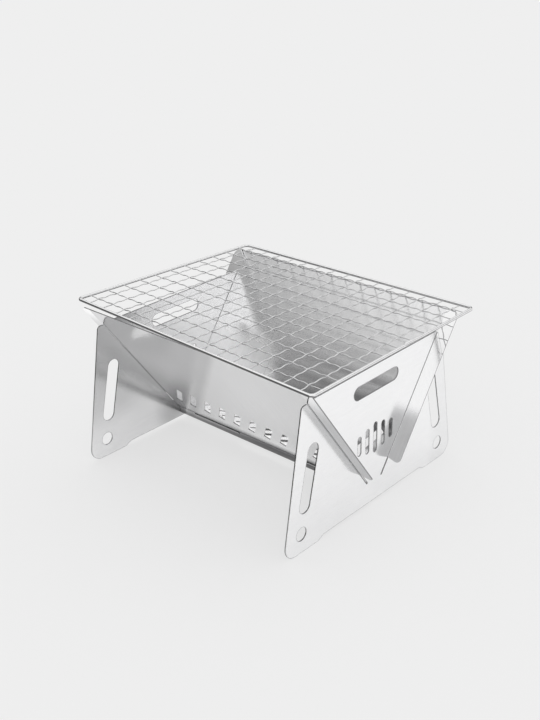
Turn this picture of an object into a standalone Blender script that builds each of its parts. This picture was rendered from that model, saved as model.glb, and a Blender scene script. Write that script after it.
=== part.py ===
"""Plug-together charcoal grill of polished sheet steel.

Two sloping walls hook together along the bottom and make a V trough. Their ends stand out
through slanted slots in two flat end plates, which are also the legs. A woven wire net in a
round rim lies loose on the walls' top edges.

X runs along the trough, Y across it and Z up. The floor is Z = 0, and the origin is the
centre of the whole grill's box.
"""

import math

import bmesh
import bpy

MM = 0.001

# Sheet and clearances
SHEET = 1.0 * MM
SEAT_GAP = 0.3 * MM
SLOT_GAP = 0.3 * MM

# Walls
WALL_ANGLE = math.radians(35.7)
VERTEX_HEIGHT = 11.2 * MM
WALL_SLOPE_LENGTH = 190.9 * MM
WALL_BODY_LENGTH = 264.0 * MM
WALL_TAB_LENGTH = 15.4 * MM
WALL_TAB_BOTTOM = 36.6 * MM
WALL_TAB_DROP = 3.2 * MM
WALL_TAB_RADIUS = 4.5 * MM
WALL_TOP_RADIUS = 8.0 * MM
BEND_RADIUS = 10.0 * MM
BEND_STEPS = 7
WALL_CUT_DEPTH = 50.0 * MM
LIP_OFFSET = 2.2 * MM
LIP_BOTTOM = 8.4 * MM

# Air vents in each wall
VENT_COUNT = 11
VENT_INSET = 25.5 * MM
VENT_LENGTH = 36.5 * MM
VENT_WIDTH = 7.4 * MM
VENT_LEAN = math.radians(33.0)
VENT_HEIGHT = 43.3 * MM
VENT_RADIUS = 1.4 * MM

# Hooks that join the two walls
HOOK_INSET = 58.2 * MM
HOOK_SLOT_LENGTH = 67.5 * MM
HOOK_CLEARANCE = 0.5 * MM
HOOK_HEIGHT = 14.8 * MM
HOOK_REACH = 1.2 * MM
HOOK_ROOT = 0.25 * MM

# End plates
FOOT_HALF_SPREAD = 130.7 * MM
FOOT_RADIUS = 13.0 * MM
LEG_TOP_WIDTH = 7.07 * MM
LEG_TOP_HEIGHT = 145.7 * MM
LEG_TOP_RADIUS = 4.0 * MM
PANEL_TOP_HEIGHT = 147.5 * MM
PANEL_CORNER_RADIUS = 1.5 * MM
ARCH_HEIGHT = 3.5 * MM
ARCH_HALF_WIDTH = 75.5 * MM
FOOT_INNER_EDGE = 83.0 * MM
WALL_SLOT_BOTTOM = 18.5 * MM
WALL_SLOT_END_RADIUS = 0.6 * MM
LEG_SLOT_LENGTH = 66.5 * MM
LEG_SLOT_WIDTH = 14.2 * MM
LEG_SLOT_LEAN = math.radians(13.2)
LEG_SLOT_OFFSET = 95.7 * MM
LEG_SLOT_HEIGHT = 72.0 * MM
FOOT_HOLE_DIAMETER = 13.5 * MM
FOOT_HOLE_OFFSET = 106.5 * MM
FOOT_HOLE_HEIGHT = 19.5 * MM
HANDLE_SLOT_LENGTH = 67.0 * MM
HANDLE_SLOT_WIDTH = 13.5 * MM
HANDLE_SLOT_DROP = 20.0 * MM
PANEL_VENT_COUNT = 5
PANEL_VENT_PITCH = 12.0 * MM
PANEL_VENT_WIDTH = 5.5 * MM
PANEL_VENT_LENGTH = 32.0 * MM
PANEL_VENT_TAPER = 6.0 * MM
PANEL_VENT_HEIGHT = 72.0 * MM

# Net
NET_LENGTH = 300.0 * MM
NET_WIDTH = 243.0 * MM
RIM_DIAMETER = 3.2 * MM
RIM_CORNER_RADIUS = 4.5 * MM
WIRE_DIAMETER = 1.2 * MM
OUTER_WIRE_GAP = 12.8 * MM
WEAVE_GAP = 0.3 * MM
CRIMP_FLAT = 3.0 * MM
CROSS_WIRE_COUNT = 15
LONG_WIRE_COUNT = 11
WIRE_END_FLAT = 6.0 * MM
NET_SHIFT_X = 7.2 * MM
NET_SHIFT_Y = 1.8 * MM
NET_CORNER_LIFT = 9.6 * MM

# Roundness of arcs, in steps to a quarter turn, and of bars, in sides
ARC_STEPS = 6
RIM_SIDES = 14
WIRE_SIDES = 6

# Worked out from the sizes above
WALL_HALF_LENGTH = WALL_BODY_LENGTH / 2 + WALL_TAB_LENGTH
VENT_PITCH = (WALL_BODY_LENGTH - 2 * VENT_INSET) / (VENT_COUNT - 1)
HOOK_CENTRE = WALL_BODY_LENGTH / 2 - HOOK_INSET
PLATE_CENTRE = WALL_BODY_LENGTH / 2 + SLOT_GAP + SHEET / 2
WALL_TOP_HEIGHT = (
    VERTEX_HEIGHT
    + WALL_SLOPE_LENGTH * math.cos(WALL_ANGLE)
    + SHEET / 2 * math.sin(WALL_ANGLE)
)
CRIMP = (WIRE_DIAMETER + WEAVE_GAP) / 2
WIRE_INSET = RIM_DIAMETER + OUTER_WIRE_GAP
CROSS_WIRE_PITCH = (NET_LENGTH - 2 * WIRE_INSET) / (CROSS_WIRE_COUNT - 1)
LONG_WIRE_PITCH = (NET_WIDTH - 2 * WIRE_INSET) / (LONG_WIRE_COUNT - 1)
NET_HEIGHT = WALL_TOP_HEIGHT + SEAT_GAP + WIRE_DIAMETER / 2 + CRIMP
BOX_LOW_X = min(-WALL_HALF_LENGTH, NET_SHIFT_X - NET_LENGTH / 2)
BOX_HIGH_X = max(WALL_HALF_LENGTH, NET_SHIFT_X + NET_LENGTH / 2)
STAND_X = -(BOX_LOW_X + BOX_HIGH_X) / 2


def clear_scene():
    for obj in list(bpy.data.objects):
        bpy.data.objects.remove(obj, do_unlink=True)


def steel(name, colour, roughness):
    """A bare steel finish."""
    material = bpy.data.materials.new(name)
    material.use_nodes = True
    shader = material.node_tree.nodes["Principled BSDF"]
    shader.inputs["Base Color"].default_value = (*colour, 1.0)
    shader.inputs["Metallic"].default_value = 1.0
    shader.inputs["Roughness"].default_value = roughness
    return material


def empty(name, location, parent=None):
    """A pivot that carries the pieces of one moving group."""
    obj = bpy.data.objects.new(name, None)
    obj.location = location
    obj.parent = parent
    bpy.context.scene.collection.objects.link(obj)
    return obj


def place(name, data, parent, location=(0, 0, 0), rotation=(0, 0, 0)):
    obj = bpy.data.objects.new(name, data)
    obj.location = location
    obj.rotation_euler = rotation
    obj.parent = parent
    bpy.context.scene.collection.objects.link(obj)
    return obj


def arc(centre, radius, start, end, steps):
    """Points on a circle from angle start to angle end, both included."""
    angles = [start + (end - start) * i / steps for i in range(steps + 1)]
    return [
        (centre[0] + radius * math.cos(a), centre[1] + radius * math.sin(a)) for a in angles
    ]


def fillet(before, corner, after, radius):
    """The arc that rounds one corner of an outline."""
    to_before = (before[0] - corner[0], before[1] - corner[1])
    to_after = (after[0] - corner[0], after[1] - corner[1])
    start = math.atan2(to_before[1], to_before[0])
    opening = math.atan2(to_after[1], to_after[0]) - start
    opening = (opening + math.pi) % (2 * math.pi) - math.pi
    half = opening / 2
    room = min(math.hypot(*to_before), math.hypot(*to_after)) / 2
    radius = min(radius, room * abs(math.tan(half)))
    middle = start + half
    reach = radius / abs(math.sin(half))
    centre = (corner[0] + reach * math.cos(middle), corner[1] + reach * math.sin(middle))
    side = math.copysign(1, half)
    turn = math.pi - abs(opening)
    steps = max(1, round(ARC_STEPS * turn / (math.pi / 2)))
    first = start - side * math.pi / 2
    return arc(centre, radius, first, first - side * turn, steps)


def rounded(corners):
    """An outline through corners given as (u, v, radius)."""
    outline = []
    for i, (u, v, radius) in enumerate(corners):
        if radius == 0:
            outline.append((u, v))
            continue
        before = corners[i - 1]
        after = corners[(i + 1) % len(corners)]
        outline += fillet(before[:2], (u, v), after[:2], radius)
    return outline


def obround(centre, length, width, lean=0.0):
    """A slot with round ends, upright and then leant over towards +u."""
    along = (math.sin(lean), math.cos(lean))
    half = (length - width) / 2
    top = (centre[0] + half * along[0], centre[1] + half * along[1])
    bottom = (centre[0] - half * along[0], centre[1] - half * along[1])
    steps = 2 * ARC_STEPS
    return arc(top, width / 2, -lean, math.pi - lean, steps) + arc(
        bottom, width / 2, math.pi - lean, 2 * math.pi - lean, steps
    )


def circle(centre, diameter):
    return arc(centre, diameter / 2, 0, 2 * math.pi, 4 * ARC_STEPS)[:-1]


def prism(name, outlines, depth):
    """A mesh of flat-ended prisms, centred on the plane that the outlines lie in."""
    mesh = bpy.data.meshes.new(name)
    bm = bmesh.new()
    for outline in outlines:
        face = bm.faces.new([bm.verts.new((u, v, -depth / 2)) for u, v in outline])
        raised = bmesh.ops.extrude_face_region(bm, geom=[face])["geom"]
        lifted = [v for v in raised if isinstance(v, bmesh.types.BMVert)]
        bmesh.ops.translate(bm, verts=lifted, vec=(0, 0, depth))
    bmesh.ops.recalc_face_normals(bm, faces=bm.faces)
    bm.to_mesh(mesh)
    bm.free()
    return mesh


def boolean(target, tool, operation):
    modifier = target.modifiers.new(operation.title(), "BOOLEAN")
    modifier.operation = operation
    modifier.solver = "EXACT"
    modifier.object = tool
    tool.hide_render = True
    tool.display_type = "WIRE"


def wall_line(side):
    """Centre points and face normals of a wall's section, from the lip up to the top edge."""
    spread = LIP_OFFSET + BEND_RADIUS * (1 - math.cos(WALL_ANGLE))
    bend_low = (
        VERTEX_HEIGHT
        + spread / math.tan(WALL_ANGLE)
        - BEND_RADIUS * math.sin(WALL_ANGLE)
    )
    points = [(side * LIP_OFFSET, LIP_BOTTOM, 0.0)]
    for i in range(BEND_STEPS + 1):
        turn = WALL_ANGLE * i / BEND_STEPS
        y = side * (LIP_OFFSET + BEND_RADIUS * (1 - math.cos(turn)))
        points.append((y, bend_low + BEND_RADIUS * math.sin(turn), turn))
    top_y = side * WALL_SLOPE_LENGTH * math.sin(WALL_ANGLE)
    top_z = VERTEX_HEIGHT + WALL_SLOPE_LENGTH * math.cos(WALL_ANGLE)
    points.append((top_y, top_z, WALL_ANGLE))
    return points


def wall_section(side):
    """A wall's section, one sheet thick."""
    inner = []
    outer = []
    for y, z, turn in wall_line(side):
        step_y = -side * math.cos(turn) * SHEET / 2
        step_z = math.sin(turn) * SHEET / 2
        inner.append((y + step_y, z + step_z))
        outer.append((y - step_y, z - step_z))
    return inner + outer[::-1]


def wall_end_cut(end):
    """What is cut from under the tab at one end of a wall, in the wall's own plane."""
    shoulder = end * WALL_BODY_LENGTH / 2
    tip = end * WALL_HALF_LENGTH
    beyond = end * (WALL_HALF_LENGTH + WALL_TAB_LENGTH)
    tip_bottom = WALL_TAB_BOTTOM - WALL_TAB_DROP
    under = -WALL_TAB_BOTTOM
    corner = fillet(
        (shoulder, WALL_TAB_BOTTOM),
        (tip, tip_bottom),
        (tip, WALL_SLOPE_LENGTH),
        WALL_TAB_RADIUS,
    )
    level = corner[-1][1]
    return [(shoulder, under), (shoulder, WALL_TAB_BOTTOM)] + corner + [
        (beyond, level),
        (beyond, under),
    ]


def wall_top_cut(end):
    """What is cut from a wall's top corner."""
    tip = end * WALL_HALF_LENGTH
    beyond = end * (WALL_HALF_LENGTH + WALL_TAB_LENGTH)
    above = WALL_SLOPE_LENGTH + WALL_TAB_LENGTH
    corner = fillet(
        (tip, 0),
        (tip, WALL_SLOPE_LENGTH),
        (0, WALL_SLOPE_LENGTH),
        WALL_TOP_RADIUS,
    )
    return corner + [(corner[-1][0], above), (beyond, above), (beyond, corner[0][1])]


def vent_outlines():
    """The row of leaning air vents, in a wall's own plane."""
    outlines = []
    for i in range(VENT_COUNT):
        centre = (i - (VENT_COUNT - 1) / 2) * VENT_PITCH
        corners = []
        for u, v in ((1, -1), (1, 1), (-1, 1), (-1, -1)):
            across = u * VENT_WIDTH / 2
            along = v * VENT_LENGTH / 2
            x = centre + across * math.cos(VENT_LEAN) + along * math.sin(VENT_LEAN)
            s = VENT_HEIGHT - across * math.sin(VENT_LEAN) + along * math.cos(VENT_LEAN)
            corners.append((x, s, VENT_RADIUS))
        outlines.append(rounded(corners))
    return outlines


def box(u, v, width, height):
    half_u = width / 2
    half_v = height / 2
    return [
        (u - half_u, v - half_v),
        (u + half_u, v - half_v),
        (u + half_u, v + half_v),
        (u - half_u, v + half_v),
    ]


def wall(name, side, parent, material):
    """One wall: the bent sheet, less its end steps, top corners and vents."""
    mesh = prism(name, [wall_section(side)], 2 * WALL_HALF_LENGTH)
    mesh.materials.append(material)
    obj = place(name, mesh, parent, rotation=(math.pi / 2, 0, math.pi / 2))
    outlines = [wall_end_cut(-1), wall_end_cut(1), wall_top_cut(-1), wall_top_cut(1)]
    cuts = prism(name + "_cuts", outlines + vent_outlines(), WALL_CUT_DEPTH)
    tilt = math.pi / 2 - side * WALL_ANGLE
    tool = place(name + "_cuts", cuts, parent, (0, 0, VERTEX_HEIGHT), (tilt, 0, 0))
    boolean(obj, tool, "DIFFERENCE")
    return obj


def hook_outlines(length, height):
    """The two hooks, or their slots, seen from the front."""
    return [box(end * HOOK_CENTRE, HOOK_HEIGHT, length, height) for end in (-1, 1)]


def front_wall(parent, material):
    """The wall whose bend has the two long slots."""
    obj = wall("front_wall", -1, parent, material)
    height = SHEET + 2 * HOOK_CLEARANCE
    slots = prism("hook_slots", hook_outlines(HOOK_SLOT_LENGTH, height), 2 * BEND_RADIUS)
    upright = (math.pi / 2, 0, 0)
    tool = place("hook_slots", slots, parent, (0, -BEND_RADIUS, 0), upright)
    boolean(obj, tool, "DIFFERENCE")
    return obj


def back_wall(parent, material):
    """The wall whose two hooks reach through the front wall's slots."""
    obj = wall("back_wall", 1, parent, material)
    length = HOOK_SLOT_LENGTH - 2 * HOOK_CLEARANCE
    root = LIP_OFFSET + HOOK_ROOT
    tip = -LIP_OFFSET - SHEET - HOOK_REACH
    hooks = prism("hooks", hook_outlines(length, SHEET), root - tip)
    upright = (math.pi / 2, 0, 0)
    tool = place("hooks", hooks, parent, (0, (root + tip) / 2, 0), upright)
    boolean(obj, tool, "UNION")
    return obj


def slot_edge(across, height):
    """Where one side of a wall slot, this far from its centre line, reaches a height."""
    slope = (height - VERTEX_HEIGHT + across * math.sin(WALL_ANGLE)) / math.cos(WALL_ANGLE)
    return slope * math.sin(WALL_ANGLE) + across * math.cos(WALL_ANGLE)


def slot_end(across):
    """A corner at the closed lower end of a wall slot."""
    y = WALL_SLOT_BOTTOM * math.sin(WALL_ANGLE) + across * math.cos(WALL_ANGLE)
    z = VERTEX_HEIGHT + WALL_SLOT_BOTTOM * math.cos(WALL_ANGLE)
    return y, z - across * math.sin(WALL_ANGLE)


def plate_outline():
    """An end plate with its two legs and the open slots for the walls."""
    half = SHEET / 2 + SLOT_GAP
    leg_top = slot_edge(half, LEG_TOP_HEIGHT)
    corners = [
        (ARCH_HALF_WIDTH, ARCH_HEIGHT, 0),
        (FOOT_INNER_EDGE, 0, 0),
        (FOOT_HALF_SPREAD, 0, FOOT_RADIUS),
        (leg_top + LEG_TOP_WIDTH, LEG_TOP_HEIGHT, LEG_TOP_RADIUS),
        (leg_top, LEG_TOP_HEIGHT, PANEL_CORNER_RADIUS),
        (*slot_end(half), WALL_SLOT_END_RADIUS),
        (*slot_end(-half), WALL_SLOT_END_RADIUS),
        (slot_edge(-half, PANEL_TOP_HEIGHT), PANEL_TOP_HEIGHT, PANEL_CORNER_RADIUS),
    ]
    mirrored = [(-y, z, radius) for y, z, radius in reversed(corners)]
    return rounded(corners + mirrored)


def plate_holes():
    """The grip slot, panel vents, leg slots and foot holes of an end plate."""
    centre = (0, PANEL_TOP_HEIGHT - HANDLE_SLOT_DROP)
    grip = obround(centre, HANDLE_SLOT_LENGTH, HANDLE_SLOT_WIDTH, math.pi / 2)
    holes = [grip]
    for i in range(PANEL_VENT_COUNT):
        place_in_row = i - (PANEL_VENT_COUNT - 1) / 2
        length = PANEL_VENT_LENGTH - abs(place_in_row) * PANEL_VENT_TAPER
        centre = (place_in_row * PANEL_VENT_PITCH, PANEL_VENT_HEIGHT)
        holes.append(obround(centre, length, PANEL_VENT_WIDTH))
    for side in (-1, 1):
        centre = (side * LEG_SLOT_OFFSET, LEG_SLOT_HEIGHT)
        lean = -side * LEG_SLOT_LEAN
        holes.append(obround(centre, LEG_SLOT_LENGTH, LEG_SLOT_WIDTH, lean))
        holes.append(circle((side * FOOT_HOLE_OFFSET, FOOT_HOLE_HEIGHT), FOOT_HOLE_DIAMETER))
    return holes


def end_plate(name, end, parent, material):
    """One flat end plate, cut from a single sheet."""
    curve = bpy.data.curves.new(name, "CURVE")
    curve.dimensions = "2D"
    curve.fill_mode = "BOTH"
    curve.extrude = SHEET / 2
    for outline in [plate_outline()] + plate_holes():
        spline = curve.splines.new("POLY")
        spline.points.add(len(outline) - 1)
        for point, (y, z) in zip(spline.points, outline):
            point.co = (y, z, 0, 1)
        spline.use_cyclic_u = True
    curve.materials.append(material)
    pivot = empty(name + "_slide", (end * PLATE_CENTRE, 0, 0), parent)
    return place(name, curve, pivot, rotation=(math.pi / 2, 0, math.pi / 2))


def lift(x, y):
    """How far the warped net stands off the walls: most at the left front corner."""
    share_x = 0.5 - x / NET_LENGTH
    share_y = 0.5 - y / NET_WIDTH
    return NET_CORNER_LIFT * share_x * share_y


def tube(name, points, diameter, sides, cyclic, parent, material):
    """A round bar along points given in the net's own frame."""
    curve = bpy.data.curves.new(name, "CURVE")
    curve.dimensions = "3D"
    curve.twist_mode = "Z_UP"
    curve.bevel_depth = diameter / 2
    curve.bevel_resolution = (sides - 4) // 2
    curve.use_fill_caps = not cyclic
    spline = curve.splines.new("POLY")
    spline.points.add(len(points) - 1)
    for point, (x, y, z) in zip(spline.points, points):
        point.co = (x, y, z + lift(x, y), 1)
    spline.use_cyclic_u = cyclic
    spline.use_smooth = True
    curve.materials.append(material)
    return place(name, curve, parent)


def rim(parent, material):
    """The closed round rim."""
    half_x = (NET_LENGTH - RIM_DIAMETER) / 2
    half_y = (NET_WIDTH - RIM_DIAMETER) / 2
    corners = [
        (x * half_x, y * half_y, RIM_CORNER_RADIUS)
        for x, y in ((1, -1), (1, 1), (-1, 1), (-1, -1))
    ]
    points = [(x, y, 0) for x, y in rounded(corners)]
    return tube("net_rim", points, RIM_DIAMETER, RIM_SIDES, True, parent, material)


def wire_profile(count, pitch, half_span, first_up, end_level):
    """Places along a crimped wire and its heights there."""
    first = -(count - 1) / 2 * pitch
    last = -first
    profile = [(-half_span, end_level), (first - CRIMP_FLAT - WIRE_END_FLAT, end_level)]
    for i in range(count):
        middle = first + i * pitch
        level = first_up * CRIMP * (-1) ** i
        profile += [(middle - CRIMP_FLAT, level), (middle + CRIMP_FLAT, level)]
    profile += [(last + CRIMP_FLAT + WIRE_END_FLAT, end_level), (half_span, end_level)]
    return profile


def cross_wires(parent, material):
    """The wires that run across the trough and rest on both walls."""
    half_span = NET_WIDTH / 2 - RIM_DIAMETER - SEAT_GAP
    for i in range(CROSS_WIRE_COUNT):
        x = (i - (CROSS_WIRE_COUNT - 1) / 2) * CROSS_WIRE_PITCH
        up = (-1) ** i
        profile = wire_profile(LONG_WIRE_COUNT, LONG_WIRE_PITCH, half_span, up, -CRIMP)
        points = [(x, y, z) for y, z in profile]
        name = f"net_cross_wire_{i + 1:02d}"
        tube(name, points, WIRE_DIAMETER, WIRE_SIDES, False, parent, material)


def long_wires(parent, material):
    """The wires that run along the trough, woven through the others."""
    half_span = NET_LENGTH / 2 - RIM_DIAMETER - SEAT_GAP
    for i in range(LONG_WIRE_COUNT):
        y = (i - (LONG_WIRE_COUNT - 1) / 2) * LONG_WIRE_PITCH
        up = -((-1) ** i)
        profile = wire_profile(CROSS_WIRE_COUNT, CROSS_WIRE_PITCH, half_span, up, 0)
        points = [(x, y, z) for x, z in profile]
        name = f"net_long_wire_{i + 1:02d}"
        tube(name, points, WIRE_DIAMETER, WIRE_SIDES, False, parent, material)


def main():
    clear_scene()
    sheet_steel = steel("polished_sheet", (0.74, 0.74, 0.75), 0.14)
    rim_steel = steel("polished_rim", (0.76, 0.76, 0.77), 0.12)
    wire_steel = steel("drawn_wire", (0.68, 0.68, 0.69), 0.28)
    stand = empty("stand", (STAND_X, 0, 0))
    front_wall(stand, sheet_steel)
    back_wall(stand, sheet_steel)
    end_plate("left_end_plate", -1, stand, sheet_steel)
    end_plate("right_end_plate", 1, stand, sheet_steel)
    net = empty("net", (NET_SHIFT_X, NET_SHIFT_Y, NET_HEIGHT), stand)
    rim(net, rim_steel)
    cross_wires(net, wire_steel)
    long_wires(net, wire_steel)


main()
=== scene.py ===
"""Dresses the plug-together charcoal grill: mirror-polished sheet, a woven wire net, a pale studio."""

import math
from collections import namedtuple

import bpy
from bpy.props import FloatProperty, FloatVectorProperty, PointerProperty
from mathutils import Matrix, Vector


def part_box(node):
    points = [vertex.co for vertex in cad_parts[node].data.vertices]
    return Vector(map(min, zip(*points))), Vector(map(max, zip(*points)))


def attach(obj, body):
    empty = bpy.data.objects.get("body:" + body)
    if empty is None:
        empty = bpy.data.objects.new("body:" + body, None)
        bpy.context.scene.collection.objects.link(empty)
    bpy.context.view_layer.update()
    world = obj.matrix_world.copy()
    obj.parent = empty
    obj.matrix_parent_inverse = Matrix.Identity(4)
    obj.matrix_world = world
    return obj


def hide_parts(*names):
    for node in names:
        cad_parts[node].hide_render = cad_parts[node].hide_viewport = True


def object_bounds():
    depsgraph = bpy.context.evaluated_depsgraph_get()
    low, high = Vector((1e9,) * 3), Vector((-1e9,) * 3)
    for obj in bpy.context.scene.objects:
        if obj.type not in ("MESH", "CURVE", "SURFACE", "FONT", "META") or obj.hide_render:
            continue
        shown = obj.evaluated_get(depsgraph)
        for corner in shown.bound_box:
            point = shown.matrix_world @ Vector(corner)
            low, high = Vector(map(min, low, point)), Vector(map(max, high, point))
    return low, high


bl_info = {
    "name": "Charcoal Grill",
    "version": (1, 0, 0),
    "blender": (4, 5, 0),
    "location": "View3D > Sidebar > Grill",
    "description": "Finishes a plug-together charcoal grill of polished sheet steel",
    "category": "Object",
}

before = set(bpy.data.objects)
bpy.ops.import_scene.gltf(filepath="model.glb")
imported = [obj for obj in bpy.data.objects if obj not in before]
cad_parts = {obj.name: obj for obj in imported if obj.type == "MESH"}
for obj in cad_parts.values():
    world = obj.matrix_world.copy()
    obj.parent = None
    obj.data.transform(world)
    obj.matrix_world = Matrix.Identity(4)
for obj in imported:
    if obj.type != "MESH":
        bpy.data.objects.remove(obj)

# Places taken from the frame
CAD_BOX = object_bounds()
RIM_LOW, RIM_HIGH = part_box("net_rim")
NET_LENGTH = RIM_HIGH.x - RIM_LOW.x
NET_WIDTH = RIM_HIGH.y - RIM_LOW.y
NET_CENTRE = (RIM_LOW + RIM_HIGH) / 2
LEFT_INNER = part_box("left_end_plate")[1].x
TROUGH_MIDDLE = (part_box("left_end_plate")[0].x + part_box("right_end_plate")[1].x) / 2
PLATE_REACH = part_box("right_end_plate")[1].x - TROUGH_MIDDLE

MM = 0.001

# Directions on the grill
UP = (0, 0, 1)
WALL_ANGLE = math.radians(35.7)
FRONT_FACE = (0, math.cos(WALL_ANGLE), math.sin(WALL_ANGLE))
BACK_FACE = (0, -math.cos(WALL_ANGLE), math.sin(WALL_ANGLE))
PLATE_SIDE = (1, 0, 0)
ALONG_WALL = (1, 0, 0)
ACROSS_PLATE = (0, 1, 0)

# Fineness of the noise along x, y and z, and its steps of detail
EVEN = (1, 1, 1)
WALL_GRAIN = (620, 22, 22)
PLATE_GRAIN = (60, 60, 420)
INSIDE_SHADE_STREAKS = (4, 160, 160)
CLOUD_SCALE = 18
CLOUD_DETAIL = 4
GRAIN_DETAIL = 3
STREAK_DETAIL = 0
SCRATCH_SCALE = 220
SCRATCH_DETAIL = 3
NOISE_SPREAD = (0.3, 0.7)

# Colours that aren't offered for change
WHITE = (1, 1, 1)
# the painted highlight's colour, for the brighter bend inside and the tabs' tops
HIGHLIGHT_COLOUR = (0.99, 0.99, 0.99)
# the painted shade's colour on the lower flanks of the rim and wires
FLANK_SHADE = (0.06, 0.06, 0.06)

# Finish of each sheet: contrast is the grain's darkest shade, cut the brightness of its cut edges.
# Painted shade is for walls only: how strong it is inside, and where and how strongly the tabs go
# grey.
WallShading = namedtuple("WallShading", "inside tab_top tab_fade tab")
Finish = namedtuple("Finish", "face grain blur contrast roughness cut heat")
FRONT_SHADING = WallShading(inside=0.0, tab_top=165 * MM, tab_fade=45 * MM, tab=0.54)
BACK_SHADING = WallShading(inside=1.0, tab_top=88 * MM, tab_fade=18 * MM, tab=0.37)
SHEET_NODES = {
    "front_wall": Finish(
        FRONT_FACE, WALL_GRAIN, ALONG_WALL, contrast=0.94, roughness=0.13, cut=0.4, heat=FRONT_SHADING
    ),
    "back_wall": Finish(
        BACK_FACE, WALL_GRAIN, ALONG_WALL, contrast=0.94, roughness=0.13, cut=0.6, heat=BACK_SHADING
    ),
    "left_end_plate": Finish(
        PLATE_SIDE, PLATE_GRAIN, ACROSS_PLATE, contrast=0.97, roughness=0.14, cut=0.5, heat=None
    ),
    "right_end_plate": Finish(
        PLATE_SIDE, PLATE_GRAIN, ACROSS_PLATE, contrast=0.975, roughness=0.11, cut=0.4, heat=None
    ),
}

# Depth of the plates' brushed lines, as a share of the walls' own
PLATE_BRUSHING = 1 / 3

# Which way a surface looks, from where a fade starts to where it is full
BROAD_FACE = (0.75, 0.95)
INSIDE = (0.5, 0.7)
OUTSIDE = (-0.5, -0.7)
TO_OUTSIDE = (0.2, -0.2)
OFF_FACE = (0.999, 0.9)

# Painted shade on the walls, each span from where a fade starts to where it is full
TAB_EASE = 1 * MM
KEEL_LENGTH = (-200 * MM, 0)
ABOVE_BEND = (30 * MM, 50 * MM)
INSIDE_SHADE_RIGHT = 90 * MM
STREAK_LEVELS = (0.5, 1.5)

# Painted shade outside on the walls: left of a slanting line, faint at the right, deeper low on the
# left
OUTSIDE_SHADE_SLOPE = 0.924
OUTSIDE_SHADE_LINE = (-114 * MM, -130 * MM)
OUTSIDE_SHADE_LEFT_SHARE = 1.15
OUTSIDE_SHADE_RIGHT = (20 * MM, 140 * MM)
OUTSIDE_SHADE_RIGHT_SHARE = 0.4
DEEP_LEFT = (-40 * MM, -140 * MM)
DEEP_LOW = (120 * MM, 60 * MM)

# Painted shade in the crease between a wall and the left plate
CREASE_REACH = (2.5 * MM, 0.5 * MM)
CREASE_LOW = (140 * MM, 100 * MM)
CREASE_SHADE = 0.9

# Painted highlight: the bend inside made brighter, most of all at the left
IN_BEND = (40 * MM, 30 * MM)
BEND_LEFT = (20 * MM, -40 * MM)
BEND_LEAST = 0.63
BEND_MORE = 0.28

# Haze that blurs the mirror image in the back wall, low at the left inside and low on its tabs
HAZE_LEFT = (-30 * MM, -60 * MM)
HAZE_TOP = (110 * MM, 80 * MM)
HAZE_BOTTOM = (40 * MM, 50 * MM)
HAZE = 0.18
TAB_HAZE_TOP = (85 * MM, 75 * MM)
TAB_HAZE = 0.3

# Painted shade on the left plate, and plain darkening of the right plate and the back legs
CORNER_Y = -6 * MM
CORNER_Z = 20 * MM
CORNER_REACH = (40 * MM, 4 * MM)
CORNER_SHADE = 0.5
PLATE_FRONT = (-40 * MM, -90 * MM)
PLATE_TOP = (25 * MM, 60 * MM)
PLATE_TOP_SHARE = 0.7
LEFT_HALF = (0, -50 * MM)
RIGHT_HALF = (0, 50 * MM)
RIGHT_DARKENING = 0.05
BACK_LEG = (70 * MM, 110 * MM)
BACK_LEG_DARKENING = 0.12

# Deburred edges of the sheets
WELD_GAP = 0.005 * MM
EDGE_STEPS = 2
EDGE_ANGLE = math.radians(50)

# Net: how its bars are drawn and how they look
QUARTER_STEPS = 12
SEAM_EASE = (0, 6 * MM, 12 * MM, 18 * MM, 24 * MM)
SEAM_GAP = 0.2 * MM
RIM_SIDES = 28
WIRE_SIDES = 10
WIRE_STEP = 0.9 * MM
WIRE_END = 6 * MM
BAR_ROUGHNESS = 0.06
SCRATCH_ROUGHNESS = 0.10
SCRATCH_SHADE = 0.93
SCRATCH_DEPTH = 0.004 * MM
# Painted shade on the bars' lower flanks: where it fades in and out, by how far they face up
FLANK_SHADE_START = (0.15, -0.3)
FLANK_SHADE_END = (-0.9, -0.6)

# Studio: the room that steel mirrors has levels by height, as pairs of position and level
FLOOR_REACH = 8.0
FLOOR_ROUGHNESS = 0.9
FLOOR_DARKENS = (-200 * MM, -340 * MM)
DARK_TOP = 0.45
NEAR_LEVELS = ((0.52, 0.36), (0.6, 0.85), (0.66, 1))
BACK_LEVELS = ((0, 1), (0.24, 1), (0.3, 0.15), (0.42, 0.15), (0.48, 1))
LEFT_FRONT = (-0.75, -0.65, 0)
LEFT_FRONT_ENDS = (0.65, 0.35)
BACK_STARTS = (0.0, 0.3)
SENSOR = 36.0
LENS_SHIFT = 0.0124
CAMERA_PLACE = (0.6192, -0.6770, 0.5453)
CAMERA_DEGREES = (64.75, 1.37, 42.46)


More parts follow.
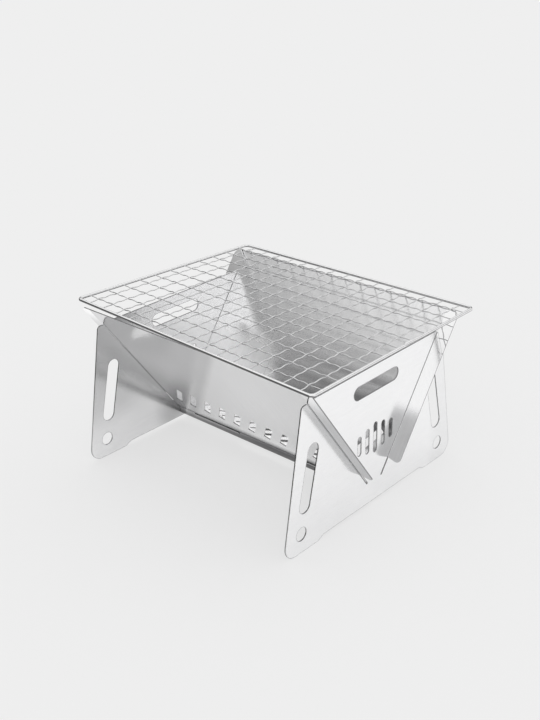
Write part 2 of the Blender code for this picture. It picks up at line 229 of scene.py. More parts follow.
class GrillSheet(bpy.types.PropertyGroup):
    """Finish of the two walls and the two end plates."""

    colour: FloatVectorProperty(
        name="Colour",
        description="Colour of the polished sheet",
        subtype="COLOR",
        size=3,
        min=0,
        max=1,
        default=(0.95, 0.95, 0.955),
    )
    cut_colour: FloatVectorProperty(
        name="Cut edges",
        description="Colour of the brightest of the laser-cut edges",
        subtype="COLOR",
        size=3,
        min=0,
        max=1,
        default=(0.55, 0.55, 0.555),
    )
    anisotropy: FloatProperty(
        name="Anisotropy",
        description="How much more the brushed sheet blurs its reflections across the brushing",
        subtype="FACTOR",
        min=0,
        max=1,
        default=0.75,
    )
    brushing: FloatProperty(
        name="Brushing",
        description="Depth of the fine brushed lines, which blur the mirror image across them",
        subtype="DISTANCE",
        unit="LENGTH",
        default=0.004 * MM,
    )
    # The colour of the painted shade on the walls and plates, also of the plain darkening of the right
    # plate and the back legs
    dark_tone: FloatVectorProperty(
        name="Tarnish",
        description="Colour of the heat-dulled steel",
        subtype="COLOR",
        size=3,
        min=0,
        max=1,
        default=(0.16, 0.16, 0.165),
    )
    # How much painted shade shows low on the insides of the walls
    inside_shade: FloatProperty(
        name="Heat inside",
        description="How much of the tarnish shows low on the insides of the walls",
        subtype="FACTOR",
        min=0,
        max=1,
        default=0.95,
    )
    # Height at which the painted shade inside fades out
    inside_top: FloatProperty(
        name="Heat top",
        description="Height at which the heat marks inside fade out",
        subtype="DISTANCE",
        unit="LENGTH",
        default=142 * MM,
    )
    # How much painted shade greys the walls' outsides and the left plate's top
    grey_shade: FloatProperty(
        name="Film",
        description="How much of the tarnish greys the walls' outsides and the left plate's top",
        subtype="FACTOR",
        min=0,
        max=1,
        default=0.31,
    )
    # Height at which the painted shade on the bend fades out, and the painted shade inside is full
    bend_shade_top: FloatProperty(
        name="Tarnish top",
        description="Height at which the bend's tarnish fades out and the heat inside is full",
        subtype="DISTANCE",
        unit="LENGTH",
        default=30 * MM,
    )
    # Height at which the painted shade on the bend is full
    bend_shade_bottom: FloatProperty(
        name="Tarnish bottom",
        description="Height at which the bend's tarnish is full",
        subtype="DISTANCE",
        unit="LENGTH",
        default=16 * MM,
    )
    ripple: FloatProperty(
        name="Ripple",
        description="Depth of the slow waves in the sheet",
        subtype="DISTANCE",
        unit="LENGTH",
        default=0.15 * MM,
    )
    smudge: FloatProperty(
        name="Smudges",
        description="How much roughness the cloudy smudges add",
        subtype="FACTOR",
        min=0,
        max=1,
        default=0.05,
    )
    # How much painted dark line shows along the plates' cut edges
    edge_shade: FloatProperty(
        name="Rubbed edge",
        description="How much of the tarnish shows along the plates' cut edges",
        subtype="FACTOR",
        min=0,
        max=1,
        default=0.9,
    )
    # How far in from the plates' cut edges the painted dark line reaches
    edge_shade_reach: FloatProperty(
        name="Rubbed width",
        description="How far in from the plates' cut edges that line reaches",
        subtype="DISTANCE",
        unit="LENGTH",
        default=1.4 * MM,
    )
    edge: FloatProperty(
        name="Edge radius",
        description="Radius of the deburred edges",
        subtype="DISTANCE",
        unit="LENGTH",
        min=0,
        default=0.28 * MM,
    )


class GrillNet(bpy.types.PropertyGroup):
    """Sizes and finish of the woven net and its rim."""

    rim_diameter: FloatProperty(
        name="Rim bar",
        description="Diameter of the rim's round bar",
        subtype="DISTANCE",
        unit="LENGTH",
        default=3.2 * MM,
    )
    rim_corner: FloatProperty(
        name="Rim corner",
        description="Radius of the rim's corners, at the middle of the bar",
        subtype="DISTANCE",
        unit="LENGTH",
        default=4.5 * MM,
    )
    seam_place: FloatProperty(
        name="Seam",
        description="Where along the right side the two ends of the rim's bar meet",
        subtype="DISTANCE",
        unit="LENGTH",
        default=10 * MM,
    )
    seam_step: FloatProperty(
        name="Seam step",
        description="How far one end of the rim's bar stands inside the other",
        subtype="DISTANCE",
        unit="LENGTH",
        default=0.9 * MM,
    )
    wire_diameter: FloatProperty(
        name="Wire",
        description="Diameter of the net's wires",
        subtype="DISTANCE",
        unit="LENGTH",
        default=1.05 * MM,
    )
    wire_gap: FloatProperty(
        name="Outer gap",
        description="Distance from the outermost wires to the inside of the rim",
        subtype="DISTANCE",
        unit="LENGTH",
        default=12.8 * MM,
    )
    crimp: FloatProperty(
        name="Crimp",
        description="How far a wire swings up or down at a crossing",
        subtype="DISTANCE",
        unit="LENGTH",
        default=0.6 * MM,
    )
    between: FloatProperty(
        name="Crimp between",
        description="How far a wire swings at the two crimps between crossings",
        subtype="DISTANCE",
        unit="LENGTH",
        default=0.3 * MM,
    )
    lift: FloatProperty(
        name="Corner lift",
        description="How far the warped net's left front corner stands off the walls",
        subtype="DISTANCE",
        unit="LENGTH",
        default=9.5 * MM,
    )
    # How much painted shade darkens the wires' lower flanks
    wire_shade: FloatProperty(
        name="Wire soot",
        description="How much soot dulls the lower flanks of the wires",
        subtype="FACTOR",
        min=0,
        max=1,
        default=0.75,
    )
    # How much painted shade darkens the rim's lower flanks
    rim_shade: FloatProperty(
        name="Rim soot",
        description="How much soot dulls the lower flanks of the rim",
        subtype="FACTOR",
        min=0,
        max=1,
        default=0.85,
    )
    wire_colour: FloatVectorProperty(
        name="Wire colour",
        description="Colour of the drawn wire",
        subtype="COLOR",
        size=3,
        min=0,
        max=1,
        default=(0.8, 0.8, 0.805),
    )
    rim_colour: FloatVectorProperty(
        name="Rim colour",
        description="Colour of the rim's bar",
        subtype="COLOR",
        size=3,
        min=0,
        max=1,
        default=(0.88, 0.88, 0.885),
    )


class GrillStage(bpy.types.PropertyGroup):
    """Floor, light and camera."""

    floor_colour: FloatVectorProperty(
        name="Floor",
        description="Colour of the seamless floor",
        subtype="COLOR",
        size=3,
        min=0,
        max=1,
        default=(0.863, 0.863, 0.863),
    )
    dark: FloatProperty(
        name="Dark side",
        description="Brightness of the room's dark left front, as polished steel mirrors it",
        subtype="FACTOR",
        min=0,
        max=1,
        default=0.08,
    )
    floor_glow: FloatProperty(
        name="Floor glow",
        description="Share of the floor's light that no shadow dims, seen directly",
        subtype="FACTOR",
        min=0,
        max=1,
        default=0.72,
    )
    mirror_glow: FloatProperty(
        name="Mirrored glow",
        description="Share of the floor's light that no shadow dims, seen in the steel",
        subtype="FACTOR",
        min=0,
        max=1,
        default=0.35,
    )
    lens: FloatProperty(
        name="Lens",
        description="Focal length on a 36 mm frame",
        unit="CAMERA",
        default=51.19,
    )


def shader_of(name):
    """A new material, its node tree and its shader."""
    material = bpy.data.materials.new(name)
    material.use_nodes = True
    tree = material.node_tree
    return material, tree, tree.nodes["Principled BSDF"]


def stretched_noise(tree, stretch, detail, scale=1):
    """Noise in the object's own space, finer along some axes than along others."""
    place = tree.nodes.new("ShaderNodeTexCoord")
    mapping = tree.nodes.new("ShaderNodeMapping")
    mapping.inputs["Scale"].default_value = stretch
    noise = tree.nodes.new("ShaderNodeTexNoise")
    noise.inputs["Scale"].default_value = scale
    noise.inputs["Detail"].default_value = detail
    tree.links.new(place.outputs["Object"], mapping.inputs["Vector"])
    tree.links.new(mapping.outputs["Vector"], noise.inputs["Vector"])
    return noise.outputs["Fac"]


def ranged(tree, noise, low, high):
    """Noise spread over a range, from its dark patches to its light ones."""
    spread = tree.nodes.new("ShaderNodeMapRange")
    spread.inputs["From Min"].default_value = NOISE_SPREAD[0]
    spread.inputs["From Max"].default_value = NOISE_SPREAD[1]
    spread.inputs["To Min"].default_value = low
    spread.inputs["To Max"].default_value = high
    tree.links.new(noise, spread.inputs["Value"])
    return spread.outputs["Result"]


def fade(tree, value, none, full, strength=1.0):
    """Rises smoothly from nothing, where a value is at none, to a strength, where it is at full."""
    spread = tree.nodes.new("ShaderNodeMapRange")
    spread.interpolation_type = "SMOOTHSTEP"
    spread.inputs["From Min"].default_value = none
    spread.inputs["From Max"].default_value = full
    spread.inputs["To Max"].default_value = strength
    tree.links.new(value, spread.inputs["Value"])
    return spread.outputs["Result"]


def reckon(tree, operation, first, second=0.0):
    """One step of arithmetic on a value, with another value or a number."""
    step = tree.nodes.new("ShaderNodeMath")
    step.operation = operation
    tree.links.new(first, step.inputs[0])
    feed(tree, second, step.inputs[1])
    return step.outputs["Value"]


def feed(tree, value, socket):
    """Links a value to a socket, or sets the socket where the value is a plain number or colour."""
    if isinstance(value, bpy.types.NodeSocket):
        tree.links.new(value, socket)
    else:
        socket.default_value = value


def product(tree, *values):
    """All the values multiplied together."""
    result = values[0]
    for value in values[1:]:
        result = reckon(tree, "MULTIPLY", result, value)
    return result


def greatest(tree, *values):
    """The greatest of the values."""
    result = values[0]
    for value in values[1:]:
        result = reckon(tree, "MAXIMUM", result, value)
    return result


def mixed(tree, low, high, factor):
    """A blend from low to high, each a colour or a socket."""
    mix = tree.nodes.new("ShaderNodeMix")
    mix.data_type = "RGBA"
    for name, colour in (("A", low), ("B", high)):
        linked = isinstance(colour, bpy.types.NodeSocket)
        feed(tree, colour if linked else (*colour, 1), mix.inputs[name])
    tree.links.new(factor, mix.inputs["Factor"])
    return mix.outputs["Result"]


def shader_mix(tree, factor, first, second):
    """A blend from one shader to another, by a number or a value."""
    mix = tree.nodes.new("ShaderNodeMixShader")
    feed(tree, factor, mix.inputs["Fac"])
    tree.links.new(first, mix.inputs[1])
    tree.links.new(second, mix.inputs[2])
    return mix.outputs["Shader"]


def bumped(tree, heights, distance, under=None):
    """Normals raised by heights, over those of another bump if there is one."""
    bump = tree.nodes.new("ShaderNodeBump")
    bump.inputs["Distance"].default_value = distance
    tree.links.new(heights, bump.inputs["Height"])
    if under:
        tree.links.new(under, bump.inputs["Normal"])
    return bump.outputs["Normal"]


def axes_of(tree, vector):
    """The three values of a vector."""
    split = tree.nodes.new("ShaderNodeSeparateXYZ")
    tree.links.new(vector, split.inputs["Vector"])
    return [split.outputs[axis] for axis in "XYZ"]


def own_place(tree):
    """The place on the object, in its own space, as three values."""
    place = tree.nodes.new("ShaderNodeTexCoord")
    return axes_of(tree, place.outputs["Object"])


def dotted(tree, vector, direction):
    """How far a vector points along a direction."""
    dot = tree.nodes.new("ShaderNodeVectorMath")
    dot.operation = "DOT_PRODUCT"
    dot.inputs[1].default_value = direction
    tree.links.new(vector, dot.inputs[0])
    return dot.outputs["Value"]


def along(tree, direction):
    """How far the surface faces along a direction of the object's own, from -1 to 1."""
    place = tree.nodes.new("ShaderNodeTexCoord")
    return dotted(tree, place.outputs["Normal"], direction)


def turner(tree, kind, start, end):
    """A node that turns vectors or normals from one space to another."""
    turn = tree.nodes.new("ShaderNodeVectorTransform")
    turn.vector_type = kind
    turn.convert_from = start
    turn.convert_to = end
    return turn


def ray_is(tree, kind):
    """One on one kind of light ray, and none on the others."""
    path = tree.nodes.new("ShaderNodeLightPath")
    return path.outputs[kind]


def broad_face(tree, normal):
    """One on the sheet's two broad faces, and none on its cut edges."""
    return fade(tree, reckon(tree, "ABSOLUTE", along(tree, normal)), *BROAD_FACE)


def outward_of(tree, x):
    """How far out from the middle of the trough."""
    return reckon(tree, "ABSOLUTE", reckon(tree, "SUBTRACT", x, TROUGH_MIDDLE))


def on_tabs(tree, x):
    """One on a wall's tabs, outside the plates."""
    return fade(tree, outward_of(tree, x), PLATE_REACH, PLATE_REACH + TAB_EASE)


def between_plates(tree, x):
    """One on a wall between the plates, and none on its tabs."""
    return fade(tree, outward_of(tree, x), PLATE_REACH, PLATE_REACH - TAB_EASE)


def keel_shade(tree, props, x, z, inner):
    """Painted shade outside along the bend, less towards the left."""
    keel = fade(tree, z, props.bend_shade_top, props.bend_shade_bottom)
    return product(tree, keel, fade(tree, x, *KEEL_LENGTH), fade(tree, inner, *TO_OUTSIDE))


def inside_painted_shade(tree, props, heat, x, z, inner):
    """Painted shade, streaked, low on the inside, more towards the right."""
    low = fade(tree, z, props.inside_top, props.bend_shade_top, props.inside_shade * heat.inside)
    low = product(tree, low, fade(tree, z, *ABOVE_BEND), between_plates(tree, x))
    streaks = ranged(tree, stretched_noise(tree, INSIDE_SHADE_STREAKS, STREAK_DETAIL), *STREAK_LEVELS)
    to_right = fade(tree, x, CAD_BOX[0].x, INSIDE_SHADE_RIGHT)
    return product(tree, low, streaks, fade(tree, inner, *INSIDE), to_right, to_right)


def outside_shade(tree, props, x, z, inner):
    """Painted shade outside, and deeper painted shade in the crease beside the left plate."""
    slant = reckon(tree, "SUBTRACT", x, reckon(tree, "MULTIPLY", z, OUTSIDE_SHADE_SLOPE))
    left = fade(tree, slant, *OUTSIDE_SHADE_LINE, props.grey_shade * OUTSIDE_SHADE_LEFT_SHARE)
    right = fade(tree, x, *OUTSIDE_SHADE_RIGHT, props.grey_shade * OUTSIDE_SHADE_RIGHT_SHARE)
    deep = product(tree, fade(tree, x, *DEEP_LEFT, props.grey_shade), fade(tree, z, *DEEP_LOW))
    grey_shade = reckon(tree, "ADD", reckon(tree, "ADD", left, right), deep)
    # Painted shade in the crease beside the left plate
    crease = fade(tree, x, LEFT_INNER + CREASE_REACH[0], LEFT_INNER + CREASE_REACH[1], CREASE_SHADE)
    crease = product(tree, crease, fade(tree, z, *CREASE_LOW))
    return product(tree, greatest(tree, grey_shade, crease), fade(tree, inner, *OUTSIDE))


def wall_shade(tree, props, finish):
    """Where a wall gets painted shade: on its bend, low inside, low on its tabs, and outside."""
    x, _, z = own_place(tree)
    inner = along(tree, finish.face)
    heat = finish.heat
    # Painted shade low on the tabs, grey below their bright tops
    tabs = fade(tree, z, heat.tab_top, heat.tab_top - heat.tab_fade, heat.tab)
    return greatest(
        tree,
        keel_shade(tree, props, x, z, inner),
        inside_painted_shade(tree, props, heat, x, z, inner),
        product(tree, on_tabs(tree, x), tabs),
        outside_shade(tree, props, x, z, inner),
    )


def painted_highlight(tree, finish):
    """Where a wall gets a painted highlight: in the bend inside, and high on its tabs."""
    x, _, z = own_place(tree)
    heat = finish.heat
    share = reckon(tree, "ADD", fade(tree, x, *BEND_LEFT, BEND_MORE), BEND_LEAST)
    inner = fade(tree, along(tree, finish.face), *INSIDE)
    bend = product(tree, fade(tree, z, *IN_BEND), inner, share)
    tabs = fade(tree, z, heat.tab_top - heat.tab_fade / 2, heat.tab_top)
    return greatest(tree, bend, product(tree, on_tabs(tree, x), tabs))


def wall_haze(tree, heat):
    """Roughness added to a wall with painted shade inside: low at the left, and low on its tabs."""
    x, _, z = own_place(tree)
    low = fade(tree, x, *HAZE_LEFT, HAZE * heat.inside)
    low = product(tree, low, fade(tree, z, *HAZE_TOP), fade(tree, z, *HAZE_BOTTOM))
    tabs = fade(tree, z, *TAB_HAZE_TOP, TAB_HAZE * heat.inside)
    return greatest(tree, low, product(tree, on_tabs(tree, x), tabs))


def corner_shade(tree):
    """Painted shade on the left plate round the place where the bend meets it."""
    place = tree.nodes.new("ShaderNodeTexCoord")
    away = tree.nodes.new("ShaderNodeVectorMath")
    away.operation = "DISTANCE"
    away.inputs[1].default_value = (LEFT_INNER, CORNER_Y, CORNER_Z)
    tree.links.new(place.outputs["Object"], away.inputs[0])
    return fade(tree, away.outputs["Value"], *CORNER_REACH, CORNER_SHADE)


def edge_shade_line(tree, props, face):
    """A painted dark line along every cut edge of a plate."""
    rounded = tree.nodes.new("ShaderNodeBevel")
    rounded.inputs["Radius"].default_value = props.edge_shade_reach
    turn = turner(tree, "NORMAL", "WORLD", "OBJECT")
    tree.links.new(rounded.outputs["Normal"], turn.inputs["Vector"])
    level = reckon(tree, "ABSOLUTE", dotted(tree, turn.outputs["Vector"], face))
    return fade(tree, level, *OFF_FACE, props.edge_shade)


def plate_darkening(tree, props, finish):
    """Where a plate is darkened: painted shade on the left one inside, plainly darker on the right one
    and the back legs, and a painted dark line along every cut edge.
    """
    x, y, z = own_place(tree)
    inner = fade(tree, along(tree, finish.face), *INSIDE)
    # Painted shade high on the left plate's inside, towards the front
    top = product(
        tree, fade(tree, y, *PLATE_FRONT), fade(tree, z, *PLATE_TOP, props.grey_shade * PLATE_TOP_SHARE)
    )
    left = product(tree, inner, fade(tree, x, *LEFT_HALF), greatest(tree, top, corner_shade(tree)))
    return greatest(
        tree,
        left,
        # Plainly darker over the right plate and on the back legs
        fade(tree, x, *RIGHT_HALF, RIGHT_DARKENING),
        fade(tree, y, *BACK_LEG, BACK_LEG_DARKENING),
        edge_shade_line(tree, props, finish.face),
    )


def brushed(tree, shader, props, direction):
    """Blurs the reflections more along one direction of the sheet than along the other."""
    shader.inputs["Anisotropic"].default_value = props.anisotropy
    turn = turner(tree, "VECTOR", "OBJECT", "WORLD")
    turn.inputs["Vector"].default_value = direction
    tree.links.new(turn.outputs["Vector"], shader.inputs["Tangent"])


def polished_sheet(name, props, finish):
    """Brushed and polished sheet: long grain, cloudy smudges, painted shade and highlights, plain
    darkening on the plates and darker cut edges.
    """
    material, tree, shader = shader_of(name)
    shader.inputs["Metallic"].default_value = 1.0
    clouds = stretched_noise(tree, EVEN, CLOUD_DETAIL, CLOUD_SCALE)
    grain = stretched_noise(tree, finish.grain, GRAIN_DETAIL)
    rough = ranged(tree, clouds, finish.roughness, finish.roughness + props.smudge)
    dull = [c * finish.contrast for c in props.colour]
    shade = mixed(tree, dull, props.colour, ranged(tree, grain, 0, 1))
    if finish.heat:
        highlight_share = painted_highlight(tree, finish)
        beyond_highlight = reckon(tree, "ABSOLUTE", reckon(tree, "SUBTRACT", highlight_share, 1))
        # Painted shade on the walls
        shade = mixed(tree, shade, props.dark_tone, wall_shade(tree, props, finish))
        # Painted highlight: brighter in the bend inside and high on the tabs
        shade = mixed(tree, shade, HIGHLIGHT_COLOUR, highlight_share)
        rough = reckon(tree, "ADD", product(tree, rough, beyond_highlight), wall_haze(tree, finish.heat))
    else:
        # Painted shade and plain darkening on the plates
        shade = mixed(tree, shade, props.dark_tone, plate_darkening(tree, props, finish))
    tree.links.new(rough, shader.inputs["Roughness"])
    cut = [c * finish.cut for c in props.cut_colour]
    shade = mixed(tree, cut, shade, broad_face(tree, finish.face))
    tree.links.new(shade, shader.inputs["Base Color"])
    waves = bumped(tree, clouds, props.ripple)
    depth = props.brushing * (1 if finish.heat else PLATE_BRUSHING)
    tree.links.new(bumped(tree, grain, depth, waves), shader.inputs["Normal"])
    brushed(tree, shader, props, finish.blur)
    return material


def bright_bar(name, colour, under_shade):
    """Drawn bar or wire: bright, with fine scratches and painted shade on its lower flanks."""
    material, tree, shader = shader_of(name)
    shader.inputs["Metallic"].default_value = 1.0
    marks = stretched_noise(tree, EVEN, SCRATCH_DETAIL, SCRATCH_SCALE)
    rough = ranged(tree, marks, BAR_ROUGHNESS, BAR_ROUGHNESS + SCRATCH_ROUGHNESS)
    tree.links.new(rough, shader.inputs["Roughness"])
    dull = [c * SCRATCH_SHADE for c in colour]
    shade = mixed(tree, dull, colour, ranged(tree, marks, 0, 1))
    level = along(tree, UP)
    # Painted shade on the lower flanks
    shaded_flanks = product(tree, fade(tree, level, *FLANK_SHADE_START, under_shade), fade(tree, level, *FLANK_SHADE_END))
    shade = mixed(tree, shade, FLANK_SHADE, shaded_flanks)
    tree.links.new(shade, shader.inputs["Base Color"])
    tree.links.new(bumped(tree, marks, SCRATCH_DEPTH), shader.inputs["Normal"])
    return material


def finish_node(node, material, edge):
    """Gives a CAD sheet its finish and rounds its cut edges."""
    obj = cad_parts[node]
    obj.data.materials.clear()
    obj.data.materials.append(material)
    weld = obj.modifiers.new("Joined corners", "WELD")
    weld.merge_threshold = WELD_GAP
    bevel = obj.modifiers.new("Deburred edges", "BEVEL")
    bevel.width = edge
    bevel.segments = EDGE_STEPS
    bevel.limit_method = "ANGLE"
    bevel.angle_limit = EDGE_ANGLE
    flat = obj.modifiers.new("Flat faces", "WEIGHTED_NORMAL")
    flat.keep_sharp = True


def net_height(props, x, y):
    """Height of the net's middle plane there, with the warp that lifts its left front corner."""
    share_x = 0.5 - (x - NET_CENTRE.x) / NET_LENGTH
    share_y = 0.5 - (y - NET_CENTRE.y) / NET_WIDTH
    return RIM_LOW.z + props.rim_diameter / 2 + props.lift * share_x * share_y


def bar(name, points, diameter, sides, material):
    """A round bar through points, with flat ends and an even number of sides."""
    curve = bpy.data.curves.new(name, "CURVE")
    curve.dimensions = "3D"
    curve.twist_mode = "Z_UP"
    curve.bevel_depth = diameter / 2
    curve.bevel_resolution = (sides - 4) // 2
    curve.use_fill_caps = True
    spline = curve.splines.new("POLY")
    spline.points.add(len(points) - 1)
    for point, place in zip(spline.points, points):
        point.co = (*place, 1)
    spline.use_smooth = True
    curve.materials.append(material)
    obj = bpy.data.objects.new(name, curve)
    bpy.context.scene.collection.objects.link(obj)
    return obj


def carry(obj, body, node):
    """Puts a piece on its body in place of the CAD node that it stands for."""
    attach(obj, body)
    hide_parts(node)


def rim_path(props):
    """The rim's middle line, from its butted seam on the right all the way round to it."""
    inset = props.rim_diameter / 2 + props.rim_corner
    half_x = NET_LENGTH / 2 - inset
    half_y = NET_WIDTH / 2 - inset
    right = NET_CENTRE.x + half_x + props.rim_corner
    flat = [(right, props.seam_place + reach) for reach in SEAM_EASE]
    for quarter, (sign_x, sign_y) in enumerate(((1, 1), (-1, 1), (-1, -1), (1, -1))):
        for step in range(QUARTER_STEPS + 1):
            angle = math.pi / 2 * (quarter + step / QUARTER_STEPS)
            x = NET_CENTRE.x + sign_x * half_x + props.rim_corner * math.cos(angle)
            y = NET_CENTRE.y + sign_y * half_y + props.rim_corner * math.sin(angle)
            flat.append((x, y))
    flat.append((right, props.seam_place - SEAM_GAP))
    points = []
    for i, (x, y) in enumerate(flat):
        slip = props.seam_step * (1 - i / len(SEAM_EASE)) if i < len(SEAM_EASE) else 0
        points.append((x - slip, y, net_height(props, x, y) + slip / 2))
    return points


def pitch(props, span, count):
    """Distance between neighbouring wires."""
    return (span - 2 * props.rim_diameter - 2 * props.wire_gap) / (count - 1)


def crimped(props, place, first, step, up, end_level):
    """Height of a crimped wire at a place along it: full at crossings, less at the two between."""
    inside = min(max(place, first), -first)
    turn = math.pi * (inside - first) / step
    short = (props.crimp + 2 * props.between) / 3
    level = up * (short * math.cos(3 * turn) + (props.crimp - short) * math.cos(turn))
    run = min(1.0, abs(place - inside) / WIRE_END)
    ease = run * run * (3 - 2 * run)
    return level + (end_level - level) * ease


def wire_path(props, crossings, length, up, end_level):
    """Places along a wire and its heights there."""
    step = pitch(props, length, crossings)
    first = -(crossings - 1) / 2 * step
    half = length / 2 - props.rim_diameter
    count = round(2 * half / WIRE_STEP)
    path = []
    for i in range(count + 1):
        place = -half + 2 * half * i / count
        path.append((place, crimped(props, place, first, step, up, end_level)))
    return path


class GRILL_OT_sheets(bpy.types.Operator):
    """Finish the two walls and the two end plates."""

    bl_idname = "grill.sheets"
    bl_label = "Sheets"

    def execute(self, context):
        props = context.scene.grill_sheet
        for node, finish in SHEET_NODES.items():
            material = polished_sheet("polished_" + node, props, finish)
            finish_node(node, material, props.edge)
        return {"FINISHED"}


class GRILL_OT_rim(bpy.types.Operator):
    """Make the net's round rim."""

    bl_idname = "grill.rim"
    bl_label = "Rim"

    def execute(self, context):
        props = context.scene.grill_net
        material = bright_bar("polished_rim", props.rim_colour, props.rim_shade)
        rim = bar("rim", rim_path(props), props.rim_diameter, RIM_SIDES, material)
        carry(rim, "net", "net_rim")
        return {"FINISHED"}


class GRILL_OT_wires(bpy.types.Operator):
    """Weave the net's crimped wires."""

    bl_idname = "grill.wires"
    bl_label = "Wires"

    def execute(self, context):
        props = context.scene.grill_net
        material = bright_bar("drawn_wire", props.wire_colour, props.wire_shade)
        cross = sorted(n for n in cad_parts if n.startswith("net_cross_wire"))
        long = sorted(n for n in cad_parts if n.startswith("net_long_wire"))
        if not cross or not long:
            raise RuntimeError("the frame has no net wires to stand for")
        for i, node in enumerate(cross):
            spots = self.cross_spots(props, i, len(cross), len(long))
            self.weave(props, material, node, f"cross_wire_{i + 1:02d}", spots)
        for i, node in enumerate(long):
            spots = self.long_spots(props, i, len(long), len(cross))
            self.weave(props, material, node, f"long_wire_{i + 1:02d}", spots)
        return {"FINISHED"}

    def cross_spots(self, props, i, count, crossings):
        """Places along one cross wire and its heights there."""
        x = NET_CENTRE.x + (i - (count - 1) / 2) * pitch(props, NET_LENGTH, count)
        path = wire_path(props, crossings, NET_WIDTH, (-1) ** i, -props.crimp)
        return [(x, NET_CENTRE.y + place, height) for place, height in path]

    def long_spots(self, props, i, count, crossings):
        """Places along one long wire and its heights there."""
        y = NET_CENTRE.y + (i - (count - 1) / 2) * pitch(props, NET_WIDTH, count)
        path = wire_path(props, crossings, NET_LENGTH, -((-1) ** i), 0)
        return [(NET_CENTRE.x + place, y, height) for place, height in path]

    def weave(self, props, material, node, name, spots):
        """Makes one wire through its spots, on the warped net."""
        points = [(x, y, net_height(props, x, y) + height) for x, y, height in spots]
        wire = bar(name, points, props.wire_diameter, WIRE_SIDES, material)
        carry(wire, "net", node)


def floor_material(props):
    """A seamless pale floor with soft shadows, which steel mirrors white, and dark far in front."""
    material, tree, shader = shader_of("studio_floor")
    shader.inputs["Base Color"].default_value = (*props.floor_colour, 1)
    shader.inputs["Roughness"].default_value = FLOOR_ROUGHNESS
    shader.inputs["Specular IOR Level"].default_value = 0.0
    glow = tree.nodes.new("ShaderNodeEmission")
    glow.inputs["Color"].default_value = (*props.floor_colour, 1)
    mirrored_glow = tree.nodes.new("ShaderNodeEmission")
    mirrored_floor = tree.nodes.new("ShaderNodeBsdfDiffuse")
    far_front = fade(tree, own_place(tree)[1], *FLOOR_DARKENS)
    shade = mixed(tree, WHITE, [props.dark] * 3, far_front)
    for node in (mirrored_glow, mirrored_floor):
        tree.links.new(shade, node.inputs["Color"])
    mirrored = shader_mix(
        tree, props.mirror_glow, mirrored_floor.outputs["BSDF"], mirrored_glow.outputs["Emission"]
    )
    direct_share = reckon(tree, "MULTIPLY", ray_is(tree, "Is Camera Ray"), props.floor_glow)
    direct = shader_mix(tree, direct_share, shader.outputs["BSDF"], glow.outputs["Emission"])
    surface = shader_mix(tree, ray_is(tree, "Is Glossy Ray"), direct, mirrored)
    tree.links.new(surface, tree.nodes["Material Output"].inputs["Surface"])
    return material


def add_floor(props):
    """A wide flat floor, which stays out of the export."""
    reach = FLOOR_REACH
    mesh = bpy.data.meshes.new("floor")
    corners = [(-reach, -reach, 0), (reach, -reach, 0), (reach, reach, 0), (-reach, reach, 0)]
    mesh.from_pydata(corners, [], [(0, 1, 2, 3)])
    mesh.materials.append(floor_material(props))
    floor = bpy.data.objects.new("floor", mesh)
    bpy.context.scene.collection.objects.link(floor)


def stepped(tree, value, stops):
    """A grey that runs through stops of position and level."""
    ramp = tree.nodes.new("ShaderNodeValToRGB")
    elements = ramp.color_ramp.elements
    for element, (position, level) in zip((elements[0], elements[-1]), (stops[0], stops[-1])):
        element.position = position
        element.color = (level, level, level, 1)
    for position, level in stops[1:-1]:
        element = elements.new(position)
        element.color = (level, level, level, 1)
    tree.links.new(value, ramp.inputs["Fac"])
    return ramp.outputs["Color"]


def mirrored_room(tree, dark):
    """What steel mirrors: a white room, dark low down at the left front, with a dark band behind."""
    way = tree.nodes.new("ShaderNodeTexCoord").outputs["Generated"]
    _, back, height = axes_of(tree, way)
    near = stepped(tree, height, ((0, dark), (DARK_TOP, dark), *NEAR_LEVELS))
    far = stepped(tree, height, BACK_LEVELS)
    elsewhere = fade(tree, dotted(tree, way, LEFT_FRONT), *LEFT_FRONT_ENDS)
    light = mixed(tree, near, WHITE, elsewhere)
    return mixed(tree, light, far, fade(tree, back, *BACK_STARTS))


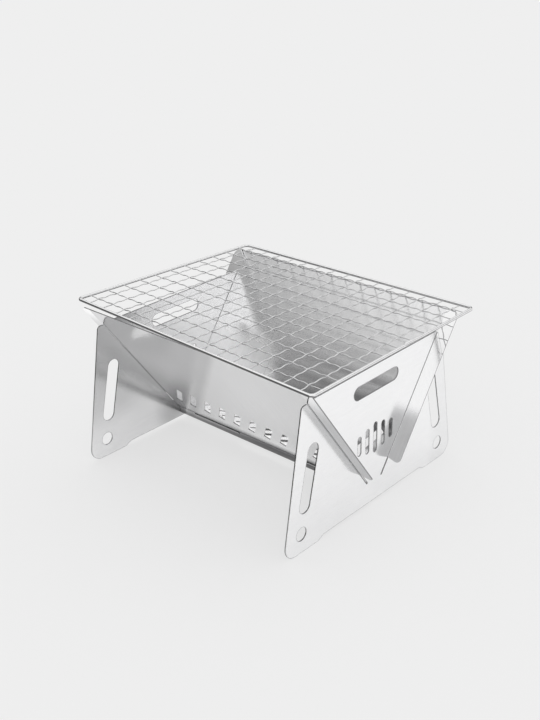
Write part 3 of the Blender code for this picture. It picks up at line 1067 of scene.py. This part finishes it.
def add_world(props):
    """A pale background and an even white light, while steel mirrors a room of its own."""
    world = bpy.data.worlds.new("studio")
    bpy.context.scene.world = world
    world.use_nodes = True
    tree = world.node_tree
    room = tree.nodes["Background"]
    wall = mixed(tree, WHITE, props.floor_colour, ray_is(tree, "Is Camera Ray"))
    tree.links.new(wall, room.inputs["Color"])
    mirrored = tree.nodes.new("ShaderNodeBackground")
    tree.links.new(mirrored_room(tree, props.dark), mirrored.inputs["Color"])
    surface = shader_mix(
        tree, ray_is(tree, "Is Glossy Ray"), room.outputs["Background"], mirrored.outputs["Background"]
    )
    tree.links.new(surface, tree.nodes["World Output"].inputs["Surface"])


def add_camera(lens):
    """The photograph's view, from the right front corner and above."""
    data = bpy.data.cameras.new("photo_camera")
    data.lens = lens
    data.sensor_width = SENSOR
    data.shift_x = LENS_SHIFT
    data.dof.use_dof = False
    camera = bpy.data.objects.new("photo_camera", data)
    camera.location = CAMERA_PLACE
    camera.rotation_euler = [math.radians(angle) for angle in CAMERA_DEGREES]
    bpy.context.scene.collection.objects.link(camera)
    bpy.context.scene.camera = camera


class GRILL_OT_stage(bpy.types.Operator):
    """Set the pale floor, the soft light and the camera."""

    bl_idname = "grill.stage"
    bl_label = "Stage"

    def execute(self, context):
        props = context.scene.grill_stage
        context.scene.view_settings.view_transform = "Standard"
        add_floor(props)
        add_world(props)
        add_camera(props.lens)
        return {"FINISHED"}


class GRILL_PT_panel(bpy.types.Panel):
    """Lists the grill's settings and its buttons."""

    bl_idname = "GRILL_PT_panel"
    bl_label = "Charcoal Grill"
    bl_space_type = "VIEW_3D"
    bl_region_type = "UI"
    bl_category = "Grill"

    def draw(self, context):
        layout = self.layout
        for group in GROUPS:
            props = getattr(context.scene, group)
            for name in props.__annotations__:
                layout.prop(props, name)
        for operator in OPERATORS:
            layout.operator(operator.bl_idname)


GROUPS = {"grill_sheet": GrillSheet, "grill_net": GrillNet, "grill_stage": GrillStage}
OPERATORS = (GRILL_OT_sheets, GRILL_OT_rim, GRILL_OT_wires, GRILL_OT_stage)
CLASSES = (*GROUPS.values(), *OPERATORS, GRILL_PT_panel)


def register():
    for cls in CLASSES:
        bpy.utils.register_class(cls)
    for name, group in GROUPS.items():
        setattr(bpy.types.Scene, name, PointerProperty(type=group))


def unregister():
    for name in GROUPS:
        delattr(bpy.types.Scene, name)
    for cls in reversed(CLASSES):
        bpy.utils.unregister_class(cls)


def main():
    register()
    bpy.ops.grill.sheets()
    bpy.ops.grill.rim()
    bpy.ops.grill.wires()
    bpy.ops.grill.stage()


if __name__ == "__main__":
    main()
